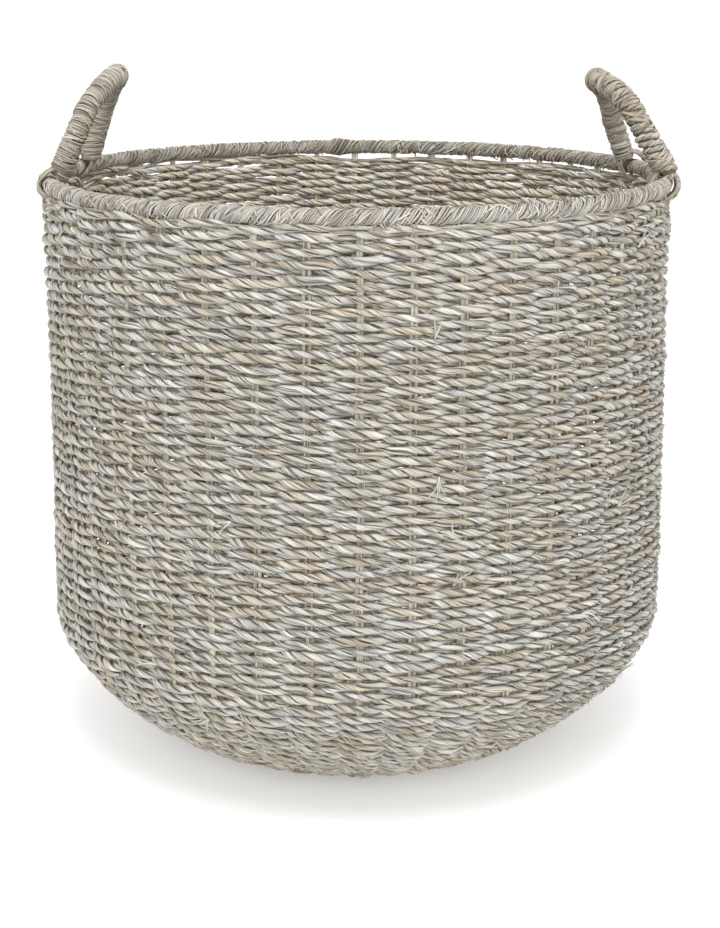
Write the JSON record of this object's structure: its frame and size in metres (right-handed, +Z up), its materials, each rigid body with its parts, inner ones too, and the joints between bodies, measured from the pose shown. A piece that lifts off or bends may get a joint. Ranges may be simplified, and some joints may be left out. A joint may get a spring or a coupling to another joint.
{
  "type": "seagrass storage basket",
  "caption": "Round open woven basket with a flat base, rounded lower edge, wound rim and hinged arch handles that lean in over the mouth.",
  "frame": {"origin": "on the floor at the middle of the flat woven base", "axes": "+Z up through the open mouth, +X and -X towards the two handles, -Y to the front"},
  "size_m": [0.4357, 0.4357, 0.4731],
  "materials": {
    "woven_rope": "matte twisted seagrass rope, whitewashed grey-beige",
    "pale_stem": "matte pale dried stems",
    "lashing": "matte fine wound strand",
    "handle_strand": "matte flat wound strand",
    "cane": "bare cane, hidden inside the winding"
  },
  "bodies": {
    "basket": {"base_weave": "woven_rope", "weaver_band_01": "woven_rope", "weaver_band_02": "woven_rope", "weaver_band_03": "woven_rope", "weaver_band_04": "woven_rope", "weaver_band_05": "woven_rope", "weaver_band_06": "woven_rope", "weaver_band_07": "woven_rope", "stake_01": "pale_stem", "stake_02": "pale_stem", "stake_03": "pale_stem", "stake_04": "pale_stem", "stake_05": "pale_stem", "stake_06": "pale_stem", "stake_07": "pale_stem", "stake_08": "pale_stem", "stake_09": "pale_stem", "stake_10": "pale_stem", "stake_11": "pale_stem", "stake_12": "pale_stem", "stake_13": "pale_stem", "stake_14": "pale_stem", "stake_15": "pale_stem", "stake_16": "pale_stem", "stake_17": "pale_stem", "stake_18": "pale_stem", "stake_19": "pale_stem", "stake_20": "pale_stem", "stake_21": "pale_stem", "stake_22": "pale_stem", "stake_23": "pale_stem", "stake_24": "pale_stem", "stake_25": "pale_stem", "stake_26": "pale_stem", "stake_27": "pale_stem", "stake_28": "pale_stem", "stake_29": "pale_stem", "stake_30": "pale_stem", "stake_31": "pale_stem", "stake_32": "pale_stem", "stake_33": "pale_stem", "stake_34": "pale_stem", "stake_35": "pale_stem", "stake_36": "pale_stem", "stake_37": "pale_stem", "stake_38": "pale_stem", "stake_39": "pale_stem", "stake_40": "pale_stem", "stake_41": "pale_stem", "stake_42": "pale_stem", "rim_hoop": "cane", "rim_lashing": "lashing"},
    "handle_right": {"handle_rod_right": "cane", "handle_winding_right": "handle_strand", "foot_eye_right_a": "handle_strand", "foot_eye_right_b": "handle_strand"},
    "handle_left": {"handle_rod_left": "cane", "handle_winding_left": "handle_strand", "foot_eye_left_a": "handle_strand", "foot_eye_left_b": "handle_strand"}
  },
  "joints": [
    {"name": "handle_right_swing", "type": "hinge", "parent": "basket", "child": "handle_right", "pos_m": [0.20166, 0.00352, 0.398], "axis": [0.0175, -0.9998, 0], "range_deg": [-40, 50]},
    {"name": "handle_left_swing", "type": "hinge", "parent": "basket", "child": "handle_left", "pos_m": [-0.20168, 0.00211, 0.398], "axis": [0.0105, 0.9999, 0], "range_deg": [-40, 50]}
  ]
}
